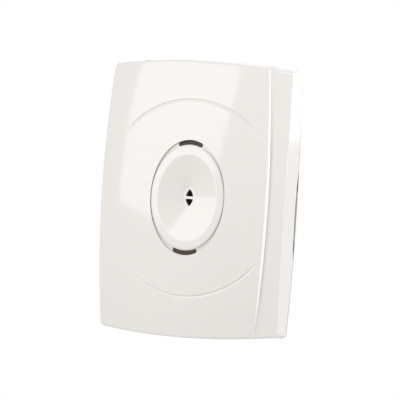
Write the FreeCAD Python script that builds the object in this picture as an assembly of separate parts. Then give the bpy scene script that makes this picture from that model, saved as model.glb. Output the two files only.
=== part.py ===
import FreeCAD, Part
import math
import os
from FreeCAD import Vector

os.makedirs("parts", exist_ok=True)

# Glass break sensor for a wall. Millimetres, X to the right seen from the front, Z up.
# The wall lies at Y = 0 and the front looks along -Y. The origin is the middle of the back plate.

# Casing
case_width = 62.0
case_height = 90.0
case_depth = 23.0
side_bow = 1.1
end_bow = 2.25
corner_radius = 1.6
draft_angle = 3.15
face_side_drop = 7.85
face_end_drop = 6.0
face_edge_round = 0.9
cover_wall = 2.0
inner_corner_radius = 0.5

# Side strip, below the main face at the foot of a sloping wall that gets lower towards both ends
ridge_x = 24.7
ridge_bow = 2.3
ridge_slope_angle = 30.0
strip_drop = 0.75
strip_reach = 53.0
strip_shift = -0.4

# Two grooves pressed into the face, parts of one ellipse
groove_z = 0.27
groove_half_x = 29.3
groove_half_z = 31.33
groove_tool = 0.6
groove_depth = 0.36
groove_end_angle = 51.0
groove_fade_angle = 14.0
groove_points = 17

# Microphone dish and the oval recess that it sits in
dish_z = 0.5
recess_half_x = 12.15
recess_half_z = 18.4
recess_depth = 1.0
dish_half_x = 12.0
dish_half_z = 16.75
dish_edge_round = 0.6
bowl_half_x = 9.9
bowl_half_z = 13.4
bowl_depth = 3.75
bowl_floor_half_x = 1.7
bowl_floor_half_z = 3.4
bowl_edge_round = 0.8
bowl_wall = 1.6
skirt_half_x = 10.6
skirt_half_z = 15.0
skirt_wall = 1.2
skirt_depth = 2.9
skirt_clearance = 0.2
clip_width = 5.0
clip_reach = 1.0
clip_clearance = 0.05
port_half_x = 1.25
port_half_z = 2.8
port_bar = 0.8

# Light windows in the two crescents of the recess
slot_half_x = 3.9
slot_ledge = 0.1
slot_corner_round = 0.4
slot_clearance = 0.05
window_set_back = 0.45
window_flange_half_x = 5.2
window_flange_margin = 0.9
window_flange_height = 0.9

# Back plate
plate_flange = 1.0
plate_thickness = 2.0
seam_gap = 0.25
plate_fit = 0.4
rim_wall = 1.2
rim_height = 2.5
pry_z = -3.5
pry_length = 29.0
pry_depth = 1.8
wall_screw_radius = 2.1
wall_screw_spacing = 72.0
cable_entry_x = 13.5
cable_entry_width = 12.0
cable_entry_height = 5.4
cable_entry_gap = 1.4
knockout_skin = 0.8
catch_width = 10.0
catch_thickness = 1.2
catch_height = 2.2
catch_clearance = 0.15

# Hinge of the cover, two lugs on the plate with pins in the cover
hinge_y = -2.9
hinge_drop = 2.3
hinge_clearance = 0.3
lug_x = 20.0
lug_width = 3.2
lug_eye_radius = 1.3
lug_root = 3.2
notch_clearance = 0.3
pin_radius = 0.5
pin_length = 1.2
pin_clearance = 0.05
pin_end_clearance = 0.2
knuckle_width = 2.6
knuckle_radius = 1.5

# Circuit board
board_width = 50.0
board_height = 63.0
board_thickness = 1.6
board_room = 15.4
board_corner = 1.0
pin_tail = 1.0
seat_gap = 0.05
part_gap = 1.5
edge_gap = 3.4
hole_spacing = 2.54
post_radius = 2.8
post_inset_x = 3.5
post_inset_z = 4.0
peg_radius = 1.25
peg_clearance = 0.1
peg_stand = 1.0
screw_radius = 1.1
screw_bite = 0.9
screw_head_radius = 2.6
screw_head_height = 1.8
screw_head_round = 0.6
screw_hole_clearance = 0.25
pilot_extra = 0.3
driver_slot_width = 0.7
driver_slot_depth = 0.8

# Microphone
capsule_radius = 4.85
capsule_length = 4.6
capsule_hole_radius = 1.0
boot_wall = 1.3
boot_lip = 0.9
boot_port_radius = 2.7
boot_gap = 0.3
boot_round = 0.7
capsule_hole_depth = 0.3
lead_radius = 0.3

# Signal lights
lamp_radius = 1.5
lamp_flange_radius = 1.9
lamp_flange_height = 1.0
lamp_length = 5.3
lamp_round = 1.35
lamp_gap = 0.5
spacer_radius = 2.1
spacer_bore = 1.0
lamp_lead_radius = 0.25
lamp_lead_offset = 0.55

# Terminal block at the lower edge of the board
pole_count = 6
pole_pitch = 5.0
terminal_depth = 8.0
terminal_height = 7.8
terminal_edge_gap = 0.5
terminal_chamfer = 1.2
entry_width = 3.4
entry_height = 4.0
entry_depth = 6.2
entry_floor = 1.0
well_radius = 1.75
terminal_screw_radius = 1.65
terminal_thread_radius = 0.95
terminal_thread_reach = 0.8
terminal_screw_sink = 0.6
clamp_wall = 0.5
clamp_clearance = 0.1
clamp_depth = 4.0
clamp_pin_radius = 0.5

# Alarm relay
relay_x = 18.0
relay_width = 10.0
relay_height = 15.0
relay_stand = 7.5
relay_round = 0.6

# Processor and amplifier
processor_x = -17.0
processor_width = 7.5
processor_height = 12.8
processor_stand = 2.3
processor_pins = 10
amplifier_x = 10.5
amplifier_width = 3.9
amplifier_height = 4.9
amplifier_stand = 1.5
amplifier_pins = 4
gull_width = 0.4
gull_thickness = 0.2
gull_reach = 1.4
gull_foot = 0.7
package_lift = 0.1

# Round capacitors
can_1_x = 19.5
can_1_radius = 3.15
can_1_height = 7.0
can_2_x = -20.0
can_2_radius = 3.15
can_2_height = 7.0
can_3_x = -22.0
can_3_radius = 2.4
can_3_height = 5.4
can_neck_height = 1.0
can_neck_width = 0.6
can_neck_depth = 0.3
can_round = 0.5

# Sensitivity trimmer
trimmer_x = -14.5
trimmer_width = 6.6
trimmer_stand = 4.0
rotor_radius = 2.2
rotor_clearance = 0.06
rotor_depth = 2.2
rotor_proud = 0.3
rotor_slot_width = 0.6
rotor_slot_depth = 0.7

# Switch with four small levers
dip_x = 12.0
dip_count = 4
dip_end = 0.8
dip_height = 6.2
dip_stand = 2.6
lever_width = 1.1
lever_length = 1.4
lever_travel = 1.8
lever_clearance = 0.1
lever_pocket = 1.2
lever_proud = 0.7

# Tamper switch under a boss of the cover
tamper_x = -18.5
tamper_width = 6.0
tamper_stand = 3.4
plunger_radius = 1.7
plunger_clearance = 0.08
plunger_root = 1.0
plunger_stand = 7.0
plunger_gap = 0.1
tamper_boss_radius = 2.0

# Jumper for the alarm memory
jumper_x = -5.5
jumper_pins = 3
jumper_base_height = 2.5
jumper_pin_width = 0.64
jumper_pin_height = 8.0
shunt_height = 6.0
shunt_width = 2.3
shunt_gap = 0.2

# Crystal
crystal_x = -9.0
crystal_width = 4.6
crystal_length = 11.3
crystal_stand = 3.4
crystal_skirt = 0.35
crystal_skirt_height = 0.5

# Voltage regulator
regulator_x = 9.0
regulator_width = 6.5
regulator_height = 6.0
regulator_stand = 2.3
regulator_tab = 1.2
regulator_tab_thickness = 0.5
regulator_leg_width = 0.9
regulator_leg_reach = 2.0

# Surge suppressor, a disc that stands on its edge
suppressor_x = 20.0
suppressor_radius = 3.2
suppressor_thickness = 3.0
suppressor_lift = 0.8
suppressor_round = 0.8

# Small surface parts
diode_x = 8.0
diode_pitch = 6.0
diode_count = 2
diode_width = 4.3
diode_height = 2.6
diode_stand = 2.2
chip_width = 1.25
chip_length = 2.0
chip_stand = 0.6
chip_pitch = 2.6
resistor_x = -2.0
resistor_count = 6
chip_capacitor_count = 5

# Cutting shapes are larger than the casing by this factor
tool_factor = 1.25

# Places worked out from the sizes above
tool_half_x = tool_factor * case_width / 2
tool_half_z = tool_factor * case_height / 2
cover_rear = -(plate_flange + seam_gap)
cover_length = case_depth + cover_rear
face_radius_x = ((case_width / 2) ** 2 + face_side_drop ** 2) / (2 * face_side_drop)
face_radius_z = ((case_height / 2) ** 2 + face_end_drop ** 2) / (2 * face_end_drop)
strip_radius_z = 1 / (1 / face_radius_z - 2 * strip_drop / strip_reach ** 2)
ridge_taper = math.tan(math.radians(ridge_slope_angle))
ridge_sag = ridge_bow + face_end_drop * ridge_taper
ridge_radius = ((case_height / 2) ** 2 + ridge_sag ** 2) / (2 * ridge_sag)
hinge_z = case_height / 2 - hinge_drop
plate_top = hinge_z - math.hypot(hinge_y - cover_rear, hinge_drop) - hinge_clearance
board_front = -(case_depth - board_room)
post_front = board_front + board_thickness
board_top = board_height / 2
post_x = board_width / 2 - post_inset_x
post_z = board_top - post_inset_z
terminal_z = -board_top + terminal_edge_gap + terminal_depth / 2
plunger_tip = board_front - plunger_stand
wall_tool_rear = -case_depth / 2
wall_tool_front = -2 * case_depth
notch_half_width = lug_width / 2 + notch_clearance
pin_half_span = notch_half_width + pin_length / 2

# Parts in the board's upper row, then down its left side
dip_z = board_top - edge_gap - dip_height / 2
trimmer_z = board_top - edge_gap - trimmer_width / 2
jumper_z = board_top - edge_gap - hole_spacing / 2
regulator_z = dip_z - dip_height / 2 - part_gap - regulator_tab - regulator_height / 2
can_3_z = post_z - screw_head_radius - part_gap - can_3_radius
tamper_z = can_3_z - can_3_radius - part_gap - tamper_width / 2
processor_z = tamper_z - tamper_width / 2 - part_gap - processor_height / 2

# Parts above the terminal block, then up the board's right side
terminal_top = terminal_z + terminal_depth / 2
crystal_z = terminal_top + part_gap + crystal_skirt + crystal_length / 2
diode_z = terminal_top + part_gap + diode_height / 2
can_2_z = -post_z + post_radius + part_gap + can_2_radius
suppressor_z = -post_z + screw_head_radius + part_gap + suppressor_radius
can_1_z = suppressor_z + suppressor_radius + part_gap + can_1_radius
relay_z = can_1_z + can_1_radius + part_gap + relay_height / 2

# Parts close round the microphone
chip_reach = capsule_radius + boot_wall + part_gap + chip_length / 2
resistor_z = dish_z + chip_reach
chip_capacitor_z = dish_z - chip_reach
amplifier_z = chip_capacitor_z - chip_length / 2 - part_gap - amplifier_height / 2


def box(x0, x1, y0, y1, z0, z1):
    return Part.makeBox(x1 - x0, y1 - y0, z1 - z0, Vector(x0, y0, z0))


def block(x, z, width, height, rear, front):
    """Box centred on (x, z) that runs from y = rear to y = front."""
    return box(x - width / 2, x + width / 2, front, rear, z - height / 2, z + height / 2)


def rod(x, z, radius, rear, front):
    """Cylinder along Y from y = rear to y = front."""
    return Part.makeCylinder(radius, rear - front, Vector(x, rear, z), Vector(0, -1, 0))


def cross_rod(x0, x1, y, z, radius):
    """Cylinder along X."""
    return Part.makeCylinder(radius, x1 - x0, Vector(x0, y, z), Vector(1, 0, 0))


def oval_edge(half_x, half_z, y):
    """Ellipse round the dish axis in the plane at y."""
    centre = Vector(0, y, dish_z)
    tall = Vector(0, y, dish_z + half_z)
    wide = Vector(half_x, y, dish_z)
    if half_z >= half_x:
        curve = Part.Ellipse(tall, wide, centre)
    else:
        curve = Part.Ellipse(wide, tall, centre)
    return Part.Wire(curve.toShape())


def oval(half_x, half_z, rear, front):
    """Elliptical prism round the dish axis."""
    return Part.Face(oval_edge(half_x, half_z, rear)).extrude(Vector(0, front - rear, 0))


def lines_along_y(shape):
    """Edges that run from back to front."""
    return [e for e in shape.Edges if abs(e.Vertexes[0].Y - e.Vertexes[-1].Y) > e.Length / 2]


def bowed_outline(inset, y):
    """Outline of four gentle arcs that meet at the corners, inset from the full size."""
    half_w = case_width / 2 - inset
    half_h = case_height / 2 - inset
    x = half_w - side_bow
    z = half_h - end_bow
    arcs = [
        Part.Arc(Vector(x, y, z), Vector(half_w, y, 0), Vector(x, y, -z)),
        Part.Arc(Vector(x, y, -z), Vector(0, y, -half_h), Vector(-x, y, -z)),
        Part.Arc(Vector(-x, y, -z), Vector(-half_w, y, 0), Vector(-x, y, z)),
        Part.Arc(Vector(-x, y, z), Vector(0, y, half_h), Vector(x, y, z)),
    ]
    return Part.Wire([arc.toShape() for arc in arcs])


def bowed_slab(inset, rear, front, corner):
    """Flat slab with the bowed outline."""
    slab = Part.Face(bowed_outline(inset, rear)).extrude(Vector(0, front - rear, 0))
    return slab.makeFillet(corner, lines_along_y(slab))


def drafted_block(inset, corner):
    """Block whose four walls lean in towards the front."""
    taper = math.tan(math.radians(draft_angle)) * cover_length
    wires = [bowed_outline(inset, cover_rear), bowed_outline(inset + taper, -case_depth)]
    solid = Part.makeLoft(wires, True, True)
    return solid.makeFillet(corner, lines_along_y(solid))


def dome(depth, along_radius=face_radius_z):
    """Everything behind a double-curved face that lies a depth below the outer face's top."""
    apex = -case_depth + depth
    across = face_radius_x - depth
    axis_y = -case_depth + along_radius
    side_y = apex + across - math.sqrt(across ** 2 - tool_half_x ** 2)
    left_front = Vector(-tool_half_x, side_y, 0)
    right_front = Vector(tool_half_x, side_y, 0)
    right_back = Vector(tool_half_x, case_depth, 0)
    left_back = Vector(-tool_half_x, case_depth, 0)
    wire = Part.Wire([
        Part.Arc(left_front, Vector(0, apex, 0), right_front).toShape(),
        Part.makeLine(right_front, right_back),
        Part.makeLine(right_back, left_back),
        Part.makeLine(left_back, left_front),
    ])
    sweep = 2 * math.degrees(math.asin(tool_half_z / along_radius))
    face = Part.Face(wire)
    face.rotate(Vector(0, axis_y, 0), Vector(1, 0, 0), -sweep / 2)
    return face.revolve(Vector(0, axis_y, 0), Vector(1, 0, 0), sweep)


def face_y(x, z):
    """Where the outer face lies at (x, z)."""
    across = face_radius_x - math.sqrt(face_radius_x ** 2 - x ** 2)
    reach = face_radius_z - across
    return -case_depth + face_radius_z - math.sqrt(reach ** 2 - z ** 2)


def strip_cutter():
    """What lies right of the ridge and in front of the strip."""
    tool = box(0, tool_half_x, wall_tool_front, 0, -case_height, case_height)
    ridge_y = face_y(ridge_x, 0)
    rear_radius = ridge_radius - ridge_y * ridge_taper
    front_radius = ridge_radius - (ridge_y - wall_tool_front) * ridge_taper
    middle = Vector(ridge_x - ridge_radius, 0, 0)
    left = Part.makeCone(rear_radius, front_radius, -wall_tool_front, middle, Vector(0, -1, 0))
    strip = dome(strip_drop, strip_radius_z).translated(Vector(0, 0, strip_shift))
    return tool.cut(left).cut(strip)


def groove(side):
    """Tube that presses the groove above (side 1) or below (side -1) the dish."""
    points = []
    for i in range(groove_points):
        angle = groove_end_angle * (2 * i / (groove_points - 1) - 1)
        past = max(0.0, abs(angle) - groove_end_angle + groove_fade_angle) / groove_fade_angle
        lift = groove_tool - groove_depth * (1 - past ** 2)
        x = groove_half_x * math.sin(math.radians(angle))
        z = groove_z + side * groove_half_z * math.cos(math.radians(angle))
        points.append(Vector(x, face_y(x, z) - lift, z))
    curve = Part.BSplineCurve()
    curve.interpolate(points)
    path = Part.Wire(curve.toShape())
    ring = Part.Circle(points[0], curve.tangent(0)[0], groove_tool)
    # The tube's seam runs along its front, clear of the face that it cuts
    ring.XAxis = Vector(0, -1, 0)
    return path.makePipeShell([Part.Wire(ring.toShape())], True, True)


def outline_edges(solid):
    """Edges between the face and the side walls, told apart by lying outside an inset block."""
    core = drafted_block(face_edge_round, inner_corner_radius)
    front = [e for e in solid.Edges if e.BoundBox.YMax < cover_rear - face_edge_round]
    return [e for e in front if not core.isInside(e.discretize(3)[1], 0, True)]


def cover_body():
    """Outer form of the cover with its strip and grooves."""
    solid = drafted_block(0, corner_radius).common(dome(0))
    for side in (1, -1):
        solid = solid.cut(groove(side))
    solid = solid.cut(strip_cutter())
    return solid.makeFillet(face_edge_round, outline_edges(solid))


def cover():
    """Hollow moulded cover with the recess, slots, hinge knuckles and tamper boss."""
    solid = cover_body()
    solid = solid.cut(drafted_block(cover_wall, inner_corner_radius).common(dome(cover_wall)))
    solid = solid.fuse(knuckles())
    solid = solid.fuse(tamper_boss())
    recess = oval(recess_half_x, recess_half_z, wall_tool_rear, wall_tool_front)
    solid = solid.cut(recess.cut(dome(recess_depth)))
    opening_x = skirt_half_x + skirt_clearance
    opening_z = skirt_half_z + skirt_clearance
    solid = solid.cut(oval(opening_x, opening_z, wall_tool_rear, wall_tool_front))
    for side in (1, -1):
        solid = solid.cut(slot_column(side, 0))
        solid = solid.cut(pry_recess(side))
        solid = solid.cut(hinge_notch(side))
        for x in (side * lug_x - pin_half_span, side * lug_x + pin_half_span):
            solid = solid.cut(pin_hole(x))
    return solid.removeSplitter()


def knuckles():
    """Thick places of the top wall that hold the hinge pins, one each side of each notch."""
    pieces = []
    for side in (1, -1):
        x0 = side * lug_x - notch_half_width - knuckle_width
        x1 = side * lug_x + notch_half_width + knuckle_width
        front = hinge_y - knuckle_radius
        pieces.append(cross_rod(x0, x1, hinge_y, hinge_z, knuckle_radius))
        pieces.append(box(x0, x1, front, hinge_y + knuckle_radius, hinge_z, case_height / 2))
    return pieces[0].fuse(pieces[1:]).common(drafted_block(0, corner_radius))


def hinge_notch(side):
    """Gap in the top wall for a lug of the plate."""
    front = hinge_y - lug_eye_radius - notch_clearance
    x = side * lug_x
    return box(x - notch_half_width, x + notch_half_width, front, 0, plate_top, case_height)


def pin_hole(x):
    """Blind hole that a hinge pin turns in, centred on the pin's length inside the knuckle."""
    half = pin_length / 2 + pin_end_clearance
    return cross_rod(x - half, x + half, hinge_y, hinge_z, pin_radius + pin_clearance)


def pry_recess(side):
    """Shallow bow in the rear edge of a side wall, to lift the cover at."""
    radius = ((pry_length / 2) ** 2 + pry_depth ** 2) / (2 * pry_depth)
    inner = case_width / 2 - side_bow - cover_wall - plate_fit
    x0, x1 = sorted((side * inner, side * case_width))
    return cross_rod(x0, x1, cover_rear - pry_depth + radius, pry_z, radius)


def tamper_boss():
    """Boss inside the front wall that ends just short of the tamper plunger."""
    boss = rod(tamper_x, tamper_z, tamper_boss_radius, plunger_tip - plunger_gap, -case_depth)
    return boss.common(dome(cover_wall / 2))


def slot_column(side, shrink):
    """Prism through the light slot above (side 1) or below (side -1) the dish."""
    outer_x = recess_half_x - slot_ledge - shrink
    outer_z = recess_half_z - slot_ledge - shrink
    inner_z = dish_half_z + slot_ledge + shrink
    ring = oval(outer_x, outer_z, wall_tool_rear, wall_tool_front)
    ring = ring.cut(oval(dish_half_x, inner_z, wall_tool_rear, wall_tool_front))
    half = slot_half_x - shrink
    z0, z1 = sorted((dish_z, dish_z + side * case_height))
    column = ring.common(box(-half, half, wall_tool_front, wall_tool_rear, z0, z1))
    return column.makeFillet(slot_corner_round, lines_along_y(column))


def bowl_cone(shift):
    """Oval cone of the bowl and the space in front of it, moved back by a shift."""
    floor_y = -case_depth + bowl_depth
    rim_y = (face_y(bowl_half_x, 0) + face_y(0, bowl_half_z)) / 2
    front_y = -case_depth - bowl_depth
    grow = (floor_y - front_y) / (floor_y - rim_y)
    front_half_x = bowl_floor_half_x + (bowl_half_x - bowl_floor_half_x) * grow
    front_half_z = bowl_floor_half_z + (bowl_half_z - bowl_floor_half_z) * grow
    floor = oval_edge(bowl_floor_half_x, bowl_floor_half_z, floor_y + shift)
    mouth = oval_edge(front_half_x, front_half_z, front_y + shift)
    return Part.makeLoft([floor, mouth], True, True)


def port():
    """Pointed oval sound port with a bar left across its middle."""
    radius = (port_half_z ** 2 + port_half_x ** 2) / (2 * port_half_x)
    offset = radius - port_half_x
    left = rod(offset, dish_z, radius, wall_tool_rear, wall_tool_front)
    right = rod(-offset, dish_z, radius, wall_tool_rear, wall_tool_front)
    return left.common(right).cut(block(0, dish_z, case_width, port_bar, 0, wall_tool_front))


def dish():
    """Oval dish with a cone-shaped bowl that leads to the sound port."""
    flange = oval(dish_half_x, dish_half_z, wall_tool_rear, wall_tool_front)
    flange = flange.common(dome(0)).cut(dome(recess_depth))
    front = min(flange.Edges, key=lambda e: e.BoundBox.YMax + (0 if e.isClosed() else case_depth))
    flange = flange.makeFillet(dish_edge_round, [front])
    skirt_rear = -case_depth + recess_depth + skirt_depth
    sleeve = oval(skirt_half_x, skirt_half_z, skirt_rear, wall_tool_front)
    bore = oval(skirt_half_x - skirt_wall, skirt_half_z - skirt_wall, skirt_rear, wall_tool_front)
    back = bowl_cone(bowl_wall).common(oval(skirt_half_x, skirt_half_z, wall_tool_rear, wall_tool_front))
    inside = dome(recess_depth / 2)
    solid = flange.fuse([sleeve.cut(bore).common(inside), back.common(inside)])
    for side in (1, -1):
        solid = solid.fuse(dish_clip(side, skirt_rear))
    solid = solid.cut(bowl_cone(0)).cut(port()).removeSplitter()
    return round_bowl_edge(solid)


def dish_clip(side, rear):
    """Foot of the skirt that snaps behind the front wall."""
    x0, x1 = sorted((side * (skirt_half_x - skirt_wall / 2), side * (skirt_half_x + clip_reach)))
    half = clip_width / 2
    foot = box(x0, x1, wall_tool_front, rear, dish_z - half, dish_z + half)
    return foot.common(dome(cover_wall + clip_clearance))


def round_bowl_edge(solid):
    """The bowl's edge, rounded: the long closed edge just outside the bowl's oval."""
    near = [e for e in solid.Edges if abs(e.BoundBox.XLength / 2 - bowl_half_x) < bowl_edge_round]
    near = [e for e in near if abs(e.BoundBox.ZLength / 2 - bowl_half_z) < bowl_edge_round]
    near = [e for e in near if e.BoundBox.YMax < -case_depth + bowl_depth / 2]
    return solid.makeFillet(bowl_edge_round, near)


def window(side):
    """Smoked window in a light slot, with a flange behind the front wall."""
    stem = slot_column(side, slot_clearance).common(dome(recess_depth + window_set_back))
    height = recess_half_z - dish_half_z + 2 * window_flange_margin
    flange = block(0, lamp_z(side), 2 * window_flange_half_x, height, wall_tool_rear, wall_tool_front)
    flange = flange.common(dome(cover_wall))
    return stem.fuse(flange).cut(dome(cover_wall + window_flange_height)).removeSplitter()


def lamp_z(side):
    """Height of the light slot above or below the dish."""
    return dish_z + side * (recess_half_z + dish_half_z) / 2


def oblong(x, z, width, height, rear, front):
    """Prism with two round ends, long along X or along Z."""
    short = min(width, height)
    reach_x = (width - short) / 2
    reach_z = (height - short) / 2
    middle = block(x, z, 2 * reach_x or short, 2 * reach_z or short, rear, front)
    ends = [rod(x + s * reach_x, z + s * reach_z, short / 2, rear, front) for s in (1, -1)]
    return middle.fuse(ends).removeSplitter()


def post_places():
    """Where the board stands on the plate: two screws, then two pegs."""
    return [(-post_x, post_z), (post_x, -post_z)], [(post_x, post_z), (-post_x, -post_z)]


def back_plate():
    """Plate with a flange under the cover's edge, a rim, posts, lugs and openings."""
    inset = cover_wall + plate_fit
    rim_front = -(plate_thickness + rim_height)
    solid = bowed_slab(inset, 0, rim_front, inner_corner_radius)
    solid = solid.cut(bowed_slab(inset + rim_wall, -plate_thickness, rim_front, inner_corner_radius))
    solid = solid.fuse([bowed_slab(0, 0, -plate_flange, corner_radius), catch()])
    solid = solid.cut(box(-case_width, case_width, -case_depth, case_depth, plate_top, case_height))
    screws, pegs = post_places()
    posts = [rod(x, z, post_radius, 0, post_front) for x, z in screws + pegs]
    posts += [rod(x, z, peg_radius, 0, board_front - peg_stand) for x, z in pegs]
    solid = solid.fuse(posts + [lug(1), lug(-1)])
    for x, z in screws:
        solid = solid.cut(rod(x, z, screw_radius, -plate_thickness + screw_bite + pilot_extra, post_front))
    for side in (1, -1):
        solid = solid.cut(rod(0, side * wall_screw_spacing / 2, wall_screw_radius, 0, rim_front))
    solid = solid.cut(cable_oblong(1, 0))
    solid = solid.cut(cable_oblong(-1, -knockout_skin))
    return solid.removeSplitter()


def cable_oblong(side, rear):
    """Oblong for a cable beside the lower wall screw, cut from y = rear to the front."""
    rim_z = -(case_height / 2 - cover_wall - plate_fit - rim_wall)
    z = rim_z + cable_entry_gap + cable_entry_height / 2
    front = -(plate_thickness + rim_height)
    return oblong(side * cable_entry_x, z, cable_entry_width, cable_entry_height, rear, front)


def catch():
    """Springy tongue on the lower rim that bears on the cover's bottom wall."""
    front = -(plate_thickness + rim_height + catch_height)
    taper = math.tan(math.radians(draft_angle)) * (cover_rear - front)
    end_radius = ((case_width / 2 - side_bow) ** 2 + end_bow ** 2) / (2 * end_bow)
    sag = (catch_width / 2) ** 2 / (2 * end_radius)
    low = -(case_height / 2 - cover_wall - taper - sag - catch_clearance)
    return box(-catch_width / 2, catch_width / 2, front, -plate_flange, low, low + catch_thickness)


def lug(side):
    """Lug that stands up from the plate and carries a hinge pin at each side."""
    x0 = side * lug_x - lug_width / 2
    x1 = side * lug_x + lug_width / 2
    front = hinge_y - lug_eye_radius
    stem = box(x0, x1, front, hinge_y + lug_eye_radius, plate_top - lug_root, hinge_z)
    eye = cross_rod(x0, x1, hinge_y, hinge_z, lug_eye_radius)
    reach = notch_clearance + pin_length
    pin = cross_rod(x0 - reach, x1 + reach, hinge_y, hinge_z, pin_radius)
    return stem.fuse([eye, pin])


def board_screws():
    """Two pan-head screws with a driver slot."""
    pieces = []
    for x, z in post_places()[0]:
        head = rod(x, z, screw_head_radius, board_front, board_front - screw_head_height)
        head = head.makeFillet(screw_head_round, [min(head.Edges, key=lambda e: e.BoundBox.YMax)])
        top = board_front - screw_head_height
        slot = block(x, z, driver_slot_width, 2 * screw_head_radius, top + driver_slot_depth, top)
        shank = rod(x, z, screw_radius, -plate_thickness + screw_bite, board_front)
        pieces.append(head.cut(slot).fuse(shank))
    return pieces


def circuit_board(through):
    """Board with rounded corners and a hole for everything that goes through it."""
    board = block(0, 0, board_width, board_height, post_front, board_front)
    board = board.makeFillet(board_corner, lines_along_y(board))
    screws, pegs = post_places()
    for x, z in screws:
        board = board.cut(rod(x, z, screw_radius + screw_hole_clearance, post_front, board_front))
    for x, z in pegs:
        board = board.cut(rod(x, z, peg_radius + peg_clearance, post_front, board_front))
    for piece in through:
        board = board.cut(piece)
    return board


def microphone():
    """Capsule, rubber boot and the two leads, in line with the sound port."""
    boot_front = -case_depth + bowl_depth + bowl_wall + boot_gap
    capsule_front = boot_front + boot_lip
    capsule_rear = capsule_front + capsule_length
    capsule = rod(0, dish_z, capsule_radius, capsule_rear, capsule_front)
    hole_floor = capsule_front + capsule_hole_depth
    capsule = capsule.cut(rod(0, dish_z, capsule_hole_radius, hole_floor, capsule_front))
    boot = rod(0, dish_z, capsule_radius + boot_wall, board_front, boot_front)
    boot = boot.makeFillet(boot_round, [min(boot.Edges, key=lambda e: e.BoundBox.YMax)])
    boot = boot.cut(rod(0, dish_z, capsule_radius, board_front, capsule_front))
    boot = boot.cut(rod(0, dish_z, boot_port_radius, capsule_front, boot_front))
    leads = [rod(side * hole_spacing / 2, dish_z, lead_radius, post_front + pin_tail, capsule_rear)
             for side in (1, -1)]
    return capsule, boot, leads


def signal_lamp(side):
    """Lamp behind a window, its spacer and its two leads."""
    z = lamp_z(side)
    front = face_y(0, z) + cover_wall + window_flange_height + lamp_gap
    base = front + lamp_length
    bulb = rod(0, z, lamp_radius, base, front)
    bulb = bulb.makeFillet(lamp_round, [min(bulb.Edges, key=lambda e: e.BoundBox.YMax)])
    bulb = bulb.fuse(rod(0, z, lamp_flange_radius, base, base - lamp_flange_height))
    spacer = rod(0, z, spacer_radius, board_front, base).cut(rod(0, z, spacer_bore, board_front, base))
    leads = [rod(s * lamp_lead_offset, z, lamp_lead_radius, post_front + pin_tail, base) for s in (1, -1)]
    return bulb.removeSplitter(), spacer, leads


def spread(count, spacing):
    """Even places on both sides of zero."""
    return [spacing * (i - (count - 1) / 2) for i in range(count)]


def terminal_clamps():
    """Wire cages, each with its pin through the board."""
    floor = board_front - entry_floor - clamp_clearance
    top = board_front - entry_floor - entry_height + clamp_clearance
    z0 = terminal_z - clamp_depth / 2
    z1 = terminal_z + clamp_depth / 2
    half = entry_width / 2 - clamp_clearance
    pieces = []
    for x in spread(pole_count, pole_pitch):
        cage = box(x - half, x + half, top, floor, z0, z1)
        inner = half - clamp_wall
        cage = cage.cut(box(x - inner, x + inner, top + clamp_wall, floor - clamp_wall, z0, z1))
        cage = cage.cut(rod(x, terminal_z, terminal_thread_radius, top + clamp_wall, top))
        pieces.append(cage.fuse(rod(x, terminal_z, clamp_pin_radius, post_front + pin_tail, floor)))
    return pieces


def terminal_screws():
    """Slotted clamp screws, each with its thread through the top of a cage."""
    head_front = board_front - terminal_height + terminal_screw_sink
    head_rear = board_front - entry_floor - entry_height + clamp_clearance
    thread_rear = head_rear + clamp_wall + terminal_thread_reach
    pieces = []
    for x in spread(pole_count, pole_pitch):
        screw = rod(x, terminal_z, terminal_screw_radius, head_rear, head_front)
        screw = screw.fuse(rod(x, terminal_z, terminal_thread_radius, thread_rear, head_rear))
        slot_rear = head_front + driver_slot_depth
        slot = block(x, terminal_z, driver_slot_width, 2 * terminal_screw_radius, slot_rear, head_front)
        pieces.append(screw.cut(slot).removeSplitter())
    return pieces


def terminal_block(clamps):
    """Insulating body with a wire entry in its lower side and a screw well in front for each pole."""
    width = pole_count * pole_pitch
    front = board_front - terminal_height
    low = terminal_z - terminal_depth / 2
    body = block(0, terminal_z, width, terminal_depth, board_front, front)
    edge = min(body.Edges, key=lambda e: e.BoundBox.YMax + e.BoundBox.ZMax)
    body = body.makeChamfer(terminal_chamfer, [edge])
    half = entry_width / 2
    entry_rear = board_front - entry_floor
    entry_front = entry_rear - entry_height
    for x in spread(pole_count, pole_pitch):
        body = body.cut(box(x - half, x + half, entry_front, entry_rear, low, low + entry_depth))
        body = body.cut(rod(x, terminal_z, well_radius, entry_rear - clamp_wall, front))
    for clamp in clamps:
        body = body.cut(clamp)
    return body


def package(x, z, width, height, stand, pins):
    """Moulded circuit with a row of bent pins down each long side."""
    top = board_front - stand
    body = block(x, z, width, height, board_front - package_lift, top)
    middle = (board_front + top) / 2
    pieces = []
    for side in (1, -1):
        root = x + side * width / 2
        knee = root + side * (gull_reach - gull_foot)
        toe = root + side * gull_reach
        parts = [(root - side * gull_thickness, knee, middle, middle + gull_thickness),
                 (knee - side * gull_thickness, knee, middle, board_front),
                 (knee - side * gull_thickness, toe, board_front - gull_thickness, board_front)]
        for pin_z in spread(pins, hole_spacing / 2):
            for xa, xb, front, rear in parts:
                pieces.append(block((xa + xb) / 2, z + pin_z, abs(xb - xa), gull_width, rear, front))
    return body.fuse(pieces).removeSplitter()


def can(x, z, radius, height):
    """Round capacitor with a rolled neck near the board."""
    solid = rod(x, z, radius, board_front, board_front - height)
    solid = solid.makeFillet(can_round, [min(solid.Edges, key=lambda e: e.BoundBox.YMax)])
    neck_rear = board_front - can_neck_height
    neck = rod(x, z, radius + can_neck_depth, neck_rear, neck_rear - can_neck_width)
    neck = neck.cut(rod(x, z, radius - can_neck_depth, neck_rear, neck_rear - can_neck_width))
    return solid.cut(neck)


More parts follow.
